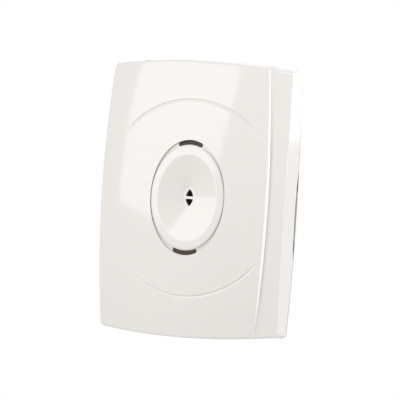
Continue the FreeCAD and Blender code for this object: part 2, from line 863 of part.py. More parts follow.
def relay():
    """Sealed relay case."""
    body = block(relay_x, relay_z, relay_width, relay_height, board_front, board_front - relay_stand)
    edges = [e for e in body.Edges if e.BoundBox.YMin < board_front - relay_round]
    return body.makeFillet(relay_round, edges)


def trimmer():
    """Sensitivity trimmer: a square body and a rotor with a cross slot."""
    front = board_front - trimmer_stand
    floor = front + rotor_depth
    body = block(trimmer_x, trimmer_z, trimmer_width, trimmer_width, board_front, front)
    body = body.cut(rod(trimmer_x, trimmer_z, rotor_radius + rotor_clearance, floor, front))
    top = front - rotor_proud
    rotor = rod(trimmer_x, trimmer_z, rotor_radius, floor - seat_gap, top)
    slot_rear = top + rotor_slot_depth
    rotor = rotor.cut(block(trimmer_x, trimmer_z, rotor_slot_width, 2 * rotor_radius, slot_rear, top))
    rotor = rotor.cut(block(trimmer_x, trimmer_z, rotor_radius, rotor_slot_width, slot_rear, top))
    return body, rotor


def dip_switch():
    """Body with a pocket for each lever, and the levers at the lower end of their travel."""
    front = board_front - dip_stand
    floor = front + lever_pocket
    width = dip_count * hole_spacing + 2 * dip_end
    body = block(dip_x, dip_z, width, dip_height, board_front, front)
    pocket_width = lever_width + 2 * lever_clearance
    pocket_height = lever_length + lever_travel + 2 * lever_clearance
    low = dip_z - lever_travel / 2
    levers = []
    for place in spread(dip_count, hole_spacing):
        x = dip_x + place
        body = body.cut(block(x, dip_z, pocket_width, pocket_height, floor, front))
        levers.append(block(x, low, lever_width, lever_length, floor - seat_gap, front - lever_proud))
    return body, levers


def tamper_switch():
    """Push switch whose long plunger the closed cover keeps pressed."""
    root = board_front - plunger_root
    body = block(tamper_x, tamper_z, tamper_width, tamper_width, board_front, board_front - tamper_stand)
    bore = rod(tamper_x, tamper_z, plunger_radius + plunger_clearance, root, board_front - tamper_stand)
    plunger = rod(tamper_x, tamper_z, plunger_radius, root - seat_gap, plunger_tip)
    return body.cut(bore), plunger


def jumper():
    """Three square pins in a base, with a shunt pushed over two of them."""
    base_front = board_front - jumper_base_height
    base = block(jumper_x, jumper_z, jumper_pins * hole_spacing, hole_spacing, board_front, base_front)
    pin_front = board_front - jumper_pin_height
    pin_rear = post_front + pin_tail
    pins = [block(jumper_x + place, jumper_z, jumper_pin_width, jumper_pin_width, pin_rear, pin_front)
            for place in spread(jumper_pins, hole_spacing)]
    shunt_x = jumper_x - hole_spacing / 2
    shunt_front = base_front - shunt_height
    shunt = block(shunt_x, jumper_z, 2 * hole_spacing - shunt_gap, shunt_width, base_front, shunt_front)
    for pin in pins:
        base = base.cut(pin)
        shunt = shunt.cut(pin)
    return base, pins, shunt


def crystal():
    """Oval metal can with a rolled skirt."""
    front = board_front - crystal_stand
    can_body = oblong(crystal_x, crystal_z, crystal_width, crystal_length, board_front, front)
    skirt_width = crystal_width + 2 * crystal_skirt
    skirt_length = crystal_length + 2 * crystal_skirt
    skirt_front = board_front - crystal_skirt_height
    skirt = oblong(crystal_x, crystal_z, skirt_width, skirt_length, board_front, skirt_front)
    return can_body.fuse(skirt).removeSplitter()


def regulator():
    """Power package with a metal tab above and three legs below."""
    body = block(regulator_x, regulator_z, regulator_width, regulator_height,
                 board_front, board_front - regulator_stand)
    tab_front = board_front - regulator_tab_thickness
    tab_top = regulator_z + regulator_height / 2 + regulator_tab
    half = regulator_width / 2 - regulator_tab_thickness
    tab = box(regulator_x - half, regulator_x + half, tab_front, board_front, regulator_z, tab_top)
    low = regulator_z - regulator_height / 2 - regulator_leg_reach
    legs = []
    half_leg = regulator_leg_width / 2
    for place in spread(3, half - half_leg):
        x = regulator_x + place
        legs.append(box(x - half_leg, x + half_leg, tab_front, board_front, low, regulator_z))
    return body.fuse([tab] + legs).removeSplitter()


def suppressor():
    """Disc that stands on its edge on two leads."""
    half = suppressor_thickness / 2
    y = board_front - suppressor_lift - suppressor_radius
    disc = cross_rod(suppressor_x - half, suppressor_x + half, y, suppressor_z, suppressor_radius)
    rims = [e for e in disc.Edges if e.BoundBox.XLength < suppressor_round]
    disc = disc.makeFillet(suppressor_round, rims)
    leads = [rod(suppressor_x, suppressor_z + place, lead_radius, post_front + pin_tail, y)
             for place in spread(2, suppressor_radius)]
    return disc.fuse(leads).removeSplitter()


def row(count, spacing, x, z, width, height, stand):
    """Row of small blocks on the board, centred on x."""
    front = board_front - stand
    return [block(x + place, z, width, height, board_front, front) for place in spread(count, spacing)]


def export(name, pieces):
    """One solid, or several separate solids of one node, into its file."""
    shape = Part.makeCompound(pieces) if isinstance(pieces, list) else pieces
    shape.exportStep("parts/" + name + ".step")
    print(name, len(shape.Solids), shape.isValid(), round(shape.Volume, 2))


def build():
    capsule, boot, leads = microphone()
    upper_lamp, upper_spacer, upper_leads = signal_lamp(1)
    lower_lamp, lower_spacer, lower_leads = signal_lamp(-1)
    clamps = terminal_clamps()
    trimmer_body, trimmer_rotor = trimmer()
    dip_body, dip_levers = dip_switch()
    tamper_body, tamper_plunger = tamper_switch()
    jumper_base, jumper_pin_row, jumper_shunt = jumper()
    disc = suppressor()
    through = leads + upper_leads + lower_leads + clamps + jumper_pin_row + [disc]

    export("front_cover", cover())
    export("microphone_dish", dish())
    export("upper_window", window(1))
    export("lower_window", window(-1))
    export("back_plate", back_plate())
    export("board_screws", board_screws())
    export("circuit_board", circuit_board(through))
    export("microphone_capsule", capsule)
    export("microphone_boot", boot)
    export("microphone_leads", leads)
    export("upper_lamp", upper_lamp)
    export("lower_lamp", lower_lamp)
    export("upper_lamp_spacer", upper_spacer)
    export("lower_lamp_spacer", lower_spacer)
    export("lamp_leads", upper_leads + lower_leads)
    export("terminal_block", terminal_block(clamps))
    export("terminal_clamps", clamps)
    export("terminal_screws", terminal_screws())
    export("alarm_relay", relay())
    export("processor", package(processor_x, processor_z, processor_width, processor_height,
                                processor_stand, processor_pins))
    export("amplifier", package(amplifier_x, amplifier_z, amplifier_width, amplifier_height,
                                amplifier_stand, amplifier_pins))
    export("capacitor_1", can(can_1_x, can_1_z, can_1_radius, can_1_height))
    export("capacitor_2", can(can_2_x, can_2_z, can_2_radius, can_2_height))
    export("capacitor_3", can(can_3_x, can_3_z, can_3_radius, can_3_height))
    export("trimmer_body", trimmer_body)
    export("trimmer_rotor", trimmer_rotor)
    export("dip_switch_body", dip_body)
    for i, lever in enumerate(dip_levers):
        export("dip_lever_" + str(i + 1), lever)
    export("tamper_switch", tamper_body)
    export("tamper_plunger", tamper_plunger)
    export("jumper_base", jumper_base)
    export("jumper_pins", jumper_pin_row)
    export("jumper_shunt", jumper_shunt)
    export("crystal", crystal())
    export("voltage_regulator", regulator())
    export("surge_suppressor", disc)
    export("protection_diodes", row(diode_count, diode_pitch, diode_x, diode_z,
                                    diode_width, diode_height, diode_stand))
    export("chip_resistors", row(resistor_count, chip_pitch, resistor_x, resistor_z,
                                 chip_width, chip_length, chip_stand))
    export("chip_capacitors", row(chip_capacitor_count, chip_pitch, 0, chip_capacitor_z,
                                  chip_width, chip_length, chip_stand))


build()
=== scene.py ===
import bmesh
import bpy
import math
from mathutils import Matrix, Vector


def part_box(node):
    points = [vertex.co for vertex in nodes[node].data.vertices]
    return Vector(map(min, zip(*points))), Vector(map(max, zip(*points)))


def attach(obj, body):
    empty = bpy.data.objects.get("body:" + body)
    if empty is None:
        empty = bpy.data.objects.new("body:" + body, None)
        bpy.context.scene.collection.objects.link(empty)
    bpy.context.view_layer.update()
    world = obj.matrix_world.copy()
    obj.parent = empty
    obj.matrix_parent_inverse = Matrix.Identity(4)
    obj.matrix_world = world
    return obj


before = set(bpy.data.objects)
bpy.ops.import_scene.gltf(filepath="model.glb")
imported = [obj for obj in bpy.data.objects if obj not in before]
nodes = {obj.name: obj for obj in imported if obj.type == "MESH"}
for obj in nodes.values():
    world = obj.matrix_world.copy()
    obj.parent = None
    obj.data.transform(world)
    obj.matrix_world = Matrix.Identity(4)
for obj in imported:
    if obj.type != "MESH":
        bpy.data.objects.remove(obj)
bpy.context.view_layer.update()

MM = 0.001

# The camera's view of the object, fitted to the photograph, in radians and metres
VIEW_YAW = math.radians(14.8)
VIEW_PITCH = math.radians(0.47)
VIEW_ROLL = math.radians(3.48)
VIEW_DISTANCE = 1.2
VIEW_TARGET = Vector((0.0, -0.012, 0.0))
IMAGE_SIZE = 400
TARGET_PIXEL = (195.0, 199.4)
PIXELS_PER_METRE = 3125.0
SENSOR_WIDTH = 36.0
CLIP_START = 0.05
CLIP_END = 20.0

# Even fill light, where 1 is the white that the camera sees
WORLD_FILL = 0.446

# The floor's height, half of its side, and the two radii between which it fades out
FLOOR_Z = -0.32
FLOOR_HALF = 1.6
FLOOR_FADE = (0.75, 1.5)
PAPER = (0.86, 0.86, 0.855)

# The lowest and highest value that noise mostly takes, and the smoothest that any finish gets
NOISE_RANGE = (0.3, 0.7)
LEAST_ROUGHNESS = 0.02

# Painted shade in creases: how far it reaches, and how open a place is with all of the shade and
# with none of it
CREASE_REACH = 1.6 * MM
CREASE_OPENNESS = (0.85, 0.97)
CREASE_SAMPLES = 12

# The arc in front view that the cover's ridge follows, and the height that the painted shade at
# its foot is centred on, with the two distances from there between which it fades out
RIDGE_X = 24.7 * MM
RIDGE_RADIUS = 178.5 * MM
RIDGE_SHADE_Z = -6 * MM
RIDGE_SHADE_FADE = (22 * MM, 46 * MM)
# Y of a normal: up to the first value a face counts as front, from the second on as a slope
FACING_FRONT = (-0.75, -0.65)
# Distance from the middle beyond which the plate's rim gets painted shade in its creases
RIM_SIDE = 27.8 * MM

# Colours of the large mouldings and of the finishes that are made of two colours
SHELL_WHITE = (0.775, 0.748, 0.722)
PLATE_WHITE = (0.740, 0.712, 0.686)
CASE_BLACK = (0.022, 0.022, 0.024)
PIN_GREY = (0.46, 0.46, 0.445)
LACQUER_GREEN = (0.012, 0.105, 0.042)
THREAD_GREEN = (0.02, 0.15, 0.065)
CLOUD_GREEN = (0.01, 0.08, 0.035)
BARE_LAMINATE = (0.50, 0.42, 0.22)
SLEEVE_BLUE = (0.012, 0.018, 0.055)
STRIPE_GREY = (0.62, 0.64, 0.66)

# Finishes of one colour: the colour, its roughness, the mottling as a share of the colour and in
# size, and the grain's height and size. Sizes are in mm
MOULDINGS = {
    "black_rubber": ((0.018, 0.018, 0.019), 0.72, 0.25, 1.5, 0.015, 0.25),
    "black_moulding": ((0.030, 0.030, 0.032), 0.42, 0.15, 1.0, 0.010, 0.14),
    "terminal_green": ((0.020, 0.190, 0.085), 0.40, 0.06, 3.0, 0.008, 0.20),
    "ivory_moulding": ((0.66, 0.63, 0.55), 0.36, 0.03, 2.0, 0.006, 0.20),
    "switch_red": ((0.42, 0.022, 0.018), 0.36, 0.06, 2.0, 0.006, 0.20),
    "trimmer_blue": ((0.025, 0.095, 0.33), 0.34, 0.06, 2.0, 0.006, 0.20),
    "relay_case": ((0.018, 0.024, 0.040), 0.30, 0.10, 4.0, 0.006, 0.25),
    "white_print": ((0.72, 0.72, 0.69), 0.55, 0.08, 0.6, 0.006, 0.15),
    "pale_band": ((0.60, 0.60, 0.58), 0.50, 0.10, 0.5),
    "dark_felt": ((0.022, 0.012, 0.010), 0.95, 0.40, 0.3, 0.030, 0.12),
}
METALS = {
    "tinned_pins": ((0.47, 0.47, 0.455), 0.32, 0.07, 0.9, 0.004, 0.30),
    "zinc_screws": ((0.41, 0.42, 0.43), 0.34, 0.08, 0.7, 0.006, 0.15),
    "drawn_can": ((0.42, 0.42, 0.41), 0.32, 0.04, 2.0, 0.003, 0.50),
    "gilt_pins": ((0.83, 0.62, 0.28), 0.22, 0.05, 0.8, 0.003, 0.30),
}
CAPACITORS = ("capacitor_1", "capacitor_2", "capacitor_3")
LEVERS = ("dip_lever_1", "dip_lever_2", "dip_lever_3", "dip_lever_4")
NODE_FINISHES = {
    "glossy_shell": ("front_cover", "microphone_dish"),
    "satin_plate": ("back_plate",),
    "black_rubber": ("microphone_boot",),
    "black_moulding": ("upper_lamp_spacer", "lower_lamp_spacer", "jumper_base", "tamper_switch",
                       "protection_diodes"),
    "terminal_green": ("terminal_block",),
    "ivory_moulding": ("trimmer_rotor", "tamper_plunger", *LEVERS),
    "switch_red": ("dip_switch_body",),
    "trimmer_blue": ("trimmer_body", "jumper_shunt"),
    "relay_case": ("alarm_relay",),
    "tinned_pins": ("microphone_leads", "lamp_leads", "terminal_clamps"),
    "zinc_screws": ("board_screws", "terminal_screws"),
    "drawn_can": ("microphone_capsule", "crystal"),
    "gilt_pins": ("jumper_pins",),
}

# The board's faces, how far its copper and print stand on it, their widths, and how deep each
# small piece is let into what carries it
BOARD_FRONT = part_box("circuit_board")[0][1]
BOARD_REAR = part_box("circuit_board")[1][1]
COPPER_RISE = 0.05 * MM
PRINT_RISE = 0.03 * MM
TRACE_WIDTH = 0.32 * MM
BROAD_TRACE_WIDTH = 3.4 * TRACE_WIDTH
PRINT_WIDTH = 0.16 * MM
EMBED = 0.04 * MM
# How far a mitred corner may reach, in half widths, and how near two points count as one
LONGEST_MITRE = 2
SAME_PLACE = 0.001 * MM

# Spacings of what stands in rows
HOLE_PITCH = 2.54 * MM
TERMINAL_PITCH = 5.0 * MM
DIODE_PITCH = 6.0 * MM
CHIP_PITCH = 2.6 * MM
REGULATOR_PITCH = 2.3 * MM

# Pins that go through the board, in mm to the right and up from the middle of their part
PINS = {
    "jumper_base": ((-2.54, 0), (0, 0), (2.54, 0)),
    "upper_lamp": ((-0.55, 0), (0.55, 0)),
    "lower_lamp": ((-0.55, 0), (0.55, 0)),
    "microphone_capsule": ((-1.27, 0), (1.27, 0)),
    "surge_suppressor": ((0, -1.6), (0, 1.6)),
    "alarm_relay": ((-3.8, -6), (3.8, -6), (-3.8, 1.6), (3.8, 1.6), (0, 6)),
    "trimmer_body": ((-2.54, -1.27), (2.54, -1.27), (0, 1.27)),
    "capacitor_1": ((-1.25, 0), (1.25, 0)),
    "capacitor_2": ((-1.25, 0), (1.25, 0)),
    "capacitor_3": ((-1.0, 0), (1.0, 0)),
    "crystal": ((0, -2.44), (0, 2.44)),
}

# Printed outlines: their clearance in mm at the sides of a part, and above and below it
OUTLINES = {
    "alarm_relay": (0.5, 0.5),
    "trimmer_body": (0.5, 0.5),
    "dip_switch_body": (0.5, 0.5),
    "tamper_switch": (0.5, 0.5),
    "jumper_base": (0.5, 0.5),
    "terminal_block": (0.3, 0.3),
    "surge_suppressor": (0.5, 0.5),
    "crystal": (0.5, 0.5),
    "chip_resistors": (0.5, 1.1),
    "chip_capacitors": (0.5, 1.1),
    "protection_diodes": (1.3, 1.1),
}
RING_CLEARANCE = 0.45 * MM
RING_POINTS = 40

# Round forms: steps of radius and rise from the foot up to the axis. The rise is in mm, and the
# radius is a share of the form's own
SOLDER_STEPS = ((1, 0.08), (0.72, 0.24), (0.50, 0.48), (0.40, 0.80), (0.36, 1.02), (0, 1.08))
DIMPLE_STEPS = ((1, 0.02), (0.85, 0.03), (0.7, 0.008), (0, 0.008))
FELT_STEPS = ((1, 0.25), (0.92, 0.34), (0.5, 0.37), (0, 0.36))
# The same with radii in mm
FOOT_STEPS = ((0.75, 0.05), (0.34, 0.28), (0, 0.28))
NIB_STEPS = ((0.7, 0.25), (0.55, 0.35), (0, 0.35))

# Inside the cover: a plane clear of its front wall, how deep its ribs are let into that wall, and
# the middles of the ejector marks in mm
INSIDE_COVER_Y = -11 * MM
RIB_DEPTH = 0.3 * MM
EJECTOR_MARKS = ((-22, -4), (22, 22), (-8, 32), (8, 32), (-8, -33), (8, -33))


def moved(place, right, up=0.0):
    """Point to the right of and above a place on the board."""
    return place[0] + right, place[1] + up


def middle(name):
    """Centre of a node in X and Z."""
    lo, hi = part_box(name)
    return (lo[0] + hi[0]) / 2, (lo[2] + hi[2]) / 2


def near(name, right, up=0.0):
    """Point to the right of and above a node's middle."""
    return moved(middle(name), right, up)


def spread(count, spacing):
    """Even places on both sides of zero."""
    return [spacing * (i - (count - 1) / 2) for i in range(count)]


def around(centre, turn, radius_x, radius_z):
    """Point of an ellipse round a centre, at a turn in radians."""
    return centre[0] + radius_x * math.cos(turn), centre[1] + radius_z * math.sin(turn)


def ring(centre, count, radius_x, radius_z):
    """Points all round an ellipse."""
    return [around(centre, 2 * math.pi * i / count, radius_x, radius_z) for i in range(count)]


def rectangle(x0, x1, z0, z1):
    """Corners of a rectangle."""
    return [(x0, z0), (x1, z0), (x1, z1), (x0, z1)]


def view_axes():
    """Right, up and back of the level camera, before it is rolled."""
    right = Vector((math.cos(VIEW_YAW), math.sin(VIEW_YAW), 0))
    back = Vector((math.sin(VIEW_YAW) * math.cos(VIEW_PITCH),
                   -math.cos(VIEW_YAW) * math.cos(VIEW_PITCH), math.sin(VIEW_PITCH)))
    return right, back.cross(right), back


def add_camera():
    """Camera that shows the view's target at its pixel, at the photograph's scale."""
    right, up, back = view_axes()
    image_right = right * math.cos(VIEW_ROLL) + up * math.sin(VIEW_ROLL)
    image_up = up * math.cos(VIEW_ROLL) - right * math.sin(VIEW_ROLL)
    off_right = (IMAGE_SIZE / 2 - TARGET_PIXEL[0]) / PIXELS_PER_METRE
    off_down = (IMAGE_SIZE / 2 - TARGET_PIXEL[1]) / PIXELS_PER_METRE
    place = VIEW_TARGET + back * VIEW_DISTANCE + image_right * off_right - image_up * off_down
    data = bpy.data.cameras.new("camera")
    data.sensor_width = SENSOR_WIDTH
    data.lens = data.sensor_width * VIEW_DISTANCE * PIXELS_PER_METRE / IMAGE_SIZE
    data.clip_start = CLIP_START
    data.clip_end = CLIP_END
    camera = bpy.data.objects.new("camera", data)
    bpy.context.scene.collection.objects.link(camera)
    turn = Matrix((image_right, image_up, back)).transposed().to_4x4()
    camera.matrix_world = Matrix.Translation(place) @ turn
    bpy.context.scene.camera = camera


def direction(azimuth, elevation):
    """Direction from the object: azimuth 0 is straight in front, 90 to its right."""
    a = math.radians(azimuth)
    e = math.radians(elevation)
    return Vector((math.sin(a) * math.cos(e), -math.cos(a) * math.cos(e), math.sin(e)))


def add_softbox(name, azimuth, elevation, distance, width, height, radiance, roll=0.0,
                shift=(0.0, 0.0)):
    """Rectangular light square to a direction, rolled, then slid sideways and up in its plane."""
    data = bpy.data.lights.new(name, "AREA")
    data.shape = "RECTANGLE"
    data.size = width
    data.size_y = height
    data.energy = radiance * math.pi * width * height
    light = bpy.data.objects.new(name, data)
    bpy.context.scene.collection.objects.link(light)
    place = direction(azimuth, elevation) * distance
    facing = (-place).to_track_quat("-Z", "Y").to_matrix()
    facing = facing @ Matrix.Rotation(math.radians(roll), 3, "Z")
    place += facing @ Vector((*shift, 0))
    light.matrix_world = Matrix.Translation(place) @ facing.to_4x4()


def add_world(fill):
    """Even fill light, seen as white by the camera and in reflections."""
    world = bpy.data.worlds.new("studio")
    world.use_nodes = True
    tree = world.node_tree
    background = tree.nodes["Background"]
    background.inputs["Color"].default_value = (1, 1, 1, 1)
    path = tree.nodes.new("ShaderNodeLightPath")
    seen = path.outputs["Is Camera Ray"]
    for kind in ("Is Glossy Ray", "Is Transmission Ray"):
        either = tree.nodes.new("ShaderNodeMath")
        either.operation = "MAXIMUM"
        tree.links.new(seen, either.inputs[0])
        tree.links.new(path.outputs[kind], either.inputs[1])
        seen = either.outputs[0]
    level = tree.nodes.new("ShaderNodeMapRange")
    level.inputs["To Min"].default_value = fill
    level.inputs["To Max"].default_value = 1.0
    tree.links.new(seen, level.inputs["Value"])
    tree.links.new(level.outputs["Result"], background.inputs["Strength"])
    bpy.context.scene.world = world


class Finish:
    """A material under construction: its node tree, its shader and the object's coordinates."""

    def __init__(self, name, **settings):
        """Settings name the shader's own sockets, with _ for a space, and their values."""
        self.material = bpy.data.materials.new(name)
        self.material.use_nodes = True
        self.tree = self.material.node_tree
        self.shader = self.tree.nodes["Principled BSDF"]
        place = self.tree.nodes.new("ShaderNodeTexCoord")
        self.coords = place.outputs["Object"]
        self.own_normal = place.outputs["Normal"]
        for socket, value in settings.items():
            self.shader.inputs[socket.replace("_", " ")].default_value = value

    def node(self, kind, links, **values):
        """New node with its inputs linked to other outputs or set to values."""
        made = self.tree.nodes.new("ShaderNode" + kind)
        for key, value in values.items():
            setattr(made, key, value)
        for socket, source in links.items():
            if isinstance(source, bpy.types.NodeSocket):
                self.tree.links.new(source, made.inputs[socket])
            else:
                made.inputs[socket].default_value = source
        return made

    def set(self, socket, source):
        """Link one of the shader's sockets to an output."""
        self.tree.links.new(source, self.shader.inputs[socket])

    def axes(self, vector):
        """X, Y and Z of a vector."""
        return self.node("SeparateXYZ", {"Vector": vector}).outputs

    def noise(self, size, detail=3.0):
        """Noise in the object's own coordinates, with blotches of about a size."""
        links = {"Vector": self.coords, "Scale": 1 / size, "Detail": detail}
        return self.node("TexNoise", links).outputs["Fac"]

    def math(self, operation, a, b=0.0):
        """Result of a sum; an operation on one number leaves b unused."""
        return self.node("Math", {0: a, 1: b}, operation=operation).outputs[0]

    def reach(self, a, b):
        """Length of the way along a and then square to it along b."""
        squares = self.math("ADD", self.math("POWER", a, 2.0), self.math("POWER", b, 2.0))
        return self.math("SQRT", squares)

    def ramp(self, value, low, high, start=0.0, end=1.0):
        """Value taken from low..high to start..end, held at both ends."""
        links = {"Value": value, "From Min": low, "From Max": high, "To Min": start, "To Max": end}
        return self.node("MapRange", links).outputs["Result"]

    def blend(self, factor, a, b):
        """Colour between a and b, each of them an output or three numbers."""
        a, b = (c if isinstance(c, bpy.types.NodeSocket) else (*c, 1) for c in (a, b))
        made = self.node("Mix", {"Factor": factor, "A": a, "B": b}, data_type="RGBA")
        return made.outputs["Result"]

    def beyond(self, axis, centre, half):
        """1 where the object's own coordinate is further than half from the centre."""
        off_centre = self.math("SUBTRACT", self.axes(self.coords)[axis], centre)
        return self.math("GREATER_THAN", self.math("ABSOLUTE", off_centre), half)

    def mottled(self, colour, amount, size):
        """Colour that varies a little from place to place."""
        dark = [c * (1 - amount) for c in colour]
        light = [min(1.0, c * (1 + amount)) for c in colour]
        return self.blend(self.noise(size), dark, light)

    def gloss(self, roughness, spread, size):
        """Roughness that varies a little from place to place."""
        smoothest = max(LEAST_ROUGHNESS, roughness - spread)
        self.set("Roughness",
                 self.ramp(self.noise(size), *NOISE_RANGE, smoothest, roughness + spread))

    def bump(self, height, distance):
        """Surface raised by a height, where a height of 1 stands for the distance."""
        made = self.node("Bump", {"Height": height, "Strength": 1.0, "Distance": distance})
        self.set("Normal", made.outputs["Normal"])


def plain(name, colour, roughness, mottle, mottle_size, grain=0.0, grain_size=1.0,
          gloss_spread=0.03, **settings):
    """Moulded, painted or metal finish with faint mottling and a fine grain, sizes in mm."""
    finish = Finish(name, **settings)
    finish.set("Base Color", finish.mottled(colour, mottle, mottle_size * MM))
    finish.gloss(roughness, gloss_spread, mottle_size * MM)
    if grain:
        finish.bump(finish.noise(grain_size * MM, 2.0), grain * MM)
    return finish.material


def add_floor():
    """Pale paper below the sensor that fades out around it, clear from its underside."""
    mesh = bpy.data.meshes.new("floor")
    corners = [(x * FLOOR_HALF, y * FLOOR_HALF, FLOOR_Z)
               for x, y in ((-1, -1), (1, -1), (1, 1), (-1, 1))]
    mesh.from_pydata(corners, [], [(0, 1, 2, 3)])
    floor = bpy.data.objects.new("floor", mesh)
    bpy.context.scene.collection.objects.link(floor)
    paper = Finish("floor_paper", Roughness=0.9)
    paper.set("Base Color", paper.mottled(PAPER, amount=0.01, size=0.2))
    place = paper.axes(paper.coords)
    inside = paper.ramp(paper.reach(place["X"], place["Y"]), *FLOOR_FADE, 1.0, 0.0)
    underside = paper.node("NewGeometry", {}).outputs["Backfacing"]
    upper_side = paper.math("SUBTRACT", 1.0, underside)
    paper.set("Alpha", paper.math("MULTIPLY", inside, upper_side))
    mesh.materials.append(paper.material)


def part_metal(name, colour, roughness, mask, metal_roughness=0.34):
    """Moulded body whose pins, outside a mask, are tinned metal. A function makes the mask."""
    finish = Finish(name)
    outside = mask(finish)
    body = finish.mottled(colour, amount=0.12, size=1.5 * MM)
    metal = finish.mottled(PIN_GREY, amount=0.06, size=0.8 * MM)
    finish.set("Base Color", finish.blend(outside, body, metal))
    finish.set("Metallic", outside)
    finish.set("Roughness", finish.ramp(outside, 0.0, 1.0, roughness, metal_roughness))
    finish.bump(finish.noise(size=0.12 * MM), distance=0.006 * MM)
    return finish.material


def ridge_foot(finish):
    """Mask of the painted shade at the ridge's foot: the strip right of the ridge, without its
    slope, fading to both ends.
    """
    slope = finish.ramp(finish.axes(finish.own_normal)["Y"], *FACING_FRONT, 1.0, 0.0)
    place = finish.axes(finish.coords)
    across = finish.math("SUBTRACT", place["X"], RIDGE_X - RIDGE_RADIUS)
    right = finish.math("GREATER_THAN", finish.reach(across, place["Z"]), RIDGE_RADIUS)
    height = finish.math("ABSOLUTE", finish.math("SUBTRACT", place["Z"], RIDGE_SHADE_Z))
    along = finish.ramp(height, *RIDGE_SHADE_FADE, 1.0, 0.0)
    return finish.math("MULTIPLY", finish.math("MULTIPLY", slope, right), along)


def rim_sides(finish):
    """Mask of the plate's rim at its left and right, where shade is painted in the gap behind the
    cover.
    """
    return finish.beyond("X", 0.0, RIM_SIDE)


def shell_plastic(name, colour, roughness, waviness, grain, crease_shade, mask):
    """White moulding, slightly wavy and grained, with shade painted into the creases that a mask
    allows.
    """
    finish = Finish(name, IOR=1.57)
    # Painted shade: the colour darkens where ambient occlusion finds a crease and the mask allows
    # it
    openness = finish.node("AmbientOcclusion", {"Distance": CREASE_REACH},
                           samples=CREASE_SAMPLES).outputs["AO"]
    crease = finish.ramp(openness, *CREASE_OPENNESS, 1.0, 0.0)
    shaded = [c * (1 - crease_shade) for c in colour]
    clean = finish.mottled(colour, amount=0.008, size=20 * MM)
    finish.set("Base Color",
               finish.blend(finish.math("MULTIPLY", crease, mask(finish)), clean, shaded))
    finish.gloss(roughness, spread=0.015, size=9 * MM)
    waves = finish.math("MULTIPLY", finish.noise(size=6 * MM, detail=1.0), waviness)
    fine = finish.math("MULTIPLY", finish.noise(size=0.35 * MM, detail=2.0), grain)
    finish.bump(finish.math("ADD", waves, fine), distance=1.0)
    return finish.material


def smoked_plastic(name, colour):
    """Dark brown see-through plastic of a light window."""
    return plain(name, colour, roughness=0.12, mottle=0.2, mottle_size=1.5,
                 Transmission_Weight=0.2, IOR=1.36)


def lens(name, colour):
    """Clear tinted resin of a lamp."""
    return plain(name, colour, roughness=0.08, mottle=0.06, mottle_size=1.5, gloss_spread=0.02,
                 Transmission_Weight=0.75, IOR=1.54)


def board_laminate():
    """Green lacquered board with a faint weave, and bare glass laminate at its sawn edges."""
    thread_pitch = 0.45 * MM
    finish = Finish("green_board", IOR=1.5, Coat_Weight=0.5, Coat_Roughness=0.15)
    weave = {"Vector": finish.coords, "Scale": 0.5 / thread_pitch, "Distortion": 0.4}
    threads = [finish.node("TexWave", weave, bands_direction=axis).outputs["Fac"]
               for axis in ("X", "Z")]
    cloth = finish.math("MULTIPLY", *threads)
    weave_share = finish.ramp(cloth, 0.0, 1.0, start=0.0, end=0.35)
    woven = finish.blend(weave_share, LACQUER_GREEN, THREAD_GREEN)
    cloud_share = finish.ramp(finish.noise(size=7 * MM), *NOISE_RANGE, start=0.0, end=0.25)
    green = finish.blend(cloud_share, woven, CLOUD_GREEN)
    inside_half = 0.48 * (BOARD_REAR - BOARD_FRONT)
    face = finish.beyond("Y", (BOARD_FRONT + BOARD_REAR) / 2, inside_half)
    bare = finish.mottled(BARE_LAMINATE, amount=0.2, size=0.5 * MM)
    finish.set("Base Color", finish.blend(face, bare, green))
    finish.gloss(0.34, spread=0.05, size=4 * MM)
    finish.bump(finish.math("ADD", cloth, finish.noise(size=1.2 * MM)), distance=0.004 * MM)
    return finish.material


def sleeved_can(node_name):
    """Capacitor in a shrunk blue sleeve with one pale stripe down its left side."""
    lo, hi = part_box(node_name)
    x, z = middle(node_name)
    radius = (hi[0] - lo[0]) / 2
    finish = Finish(node_name + "_sleeve", Coat_Weight=0.4, Coat_Roughness=0.12)
    stripe_half = 0.42 * radius
    off_stripe = finish.beyond("Z", z, stripe_half)
    right_half = finish.beyond("X", x - 2 * radius, 2 * radius)
    sleeve = finish.mottled(SLEEVE_BLUE, amount=0.10, size=1.2 * MM)
    finish.set("Base Color", finish.blend(finish.math("MAXIMUM", off_stripe, right_half),
                                          STRIPE_GREY, sleeve))
    finish.gloss(0.24, spread=0.04, size=1.5 * MM)
    finish.bump(finish.noise(size=0.6 * MM), distance=0.01 * MM)
    return finish.material


def beside(node_name, axis, half):
    """Mask of what lies further than half from a node's middle along an axis."""
    index = "XYZ".index(axis)
    lo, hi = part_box(node_name)
    return lambda finish: finish.beyond(axis, (lo[index] + hi[index]) / 2, half)


def below_disc(finish):
    """Mask of the surge suppressor's leads, between the disc and the board."""
    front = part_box("surge_suppressor")[0][1]
    lead_top = BOARD_FRONT - 0.55 * MM
    return finish.beyond("Y", front, lead_top - front)


def regulator_metal(finish):
    """Mask of the voltage regulator's tab above its body and legs below it."""
    lo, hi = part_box("voltage_regulator")
    body_top = hi[2] - 1.2 * MM
    body_foot = lo[2] + 2.0 * MM
    clear = 0.02 * MM
    return finish.beyond("Z", (body_top + body_foot) / 2, (body_top - body_foot) / 2 + clear)


def chip_ceramic(name, node_name, colour):
    """Small ceramic parts, tinned at their two ends."""
    lo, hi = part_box(node_name)
    bare_share = 0.72
    body_half = bare_share * (hi[2] - lo[2]) / 2
    return part_metal(name, colour, roughness=0.4, mask=beside(node_name, "Z", body_half),
                      metal_roughness=0.22)


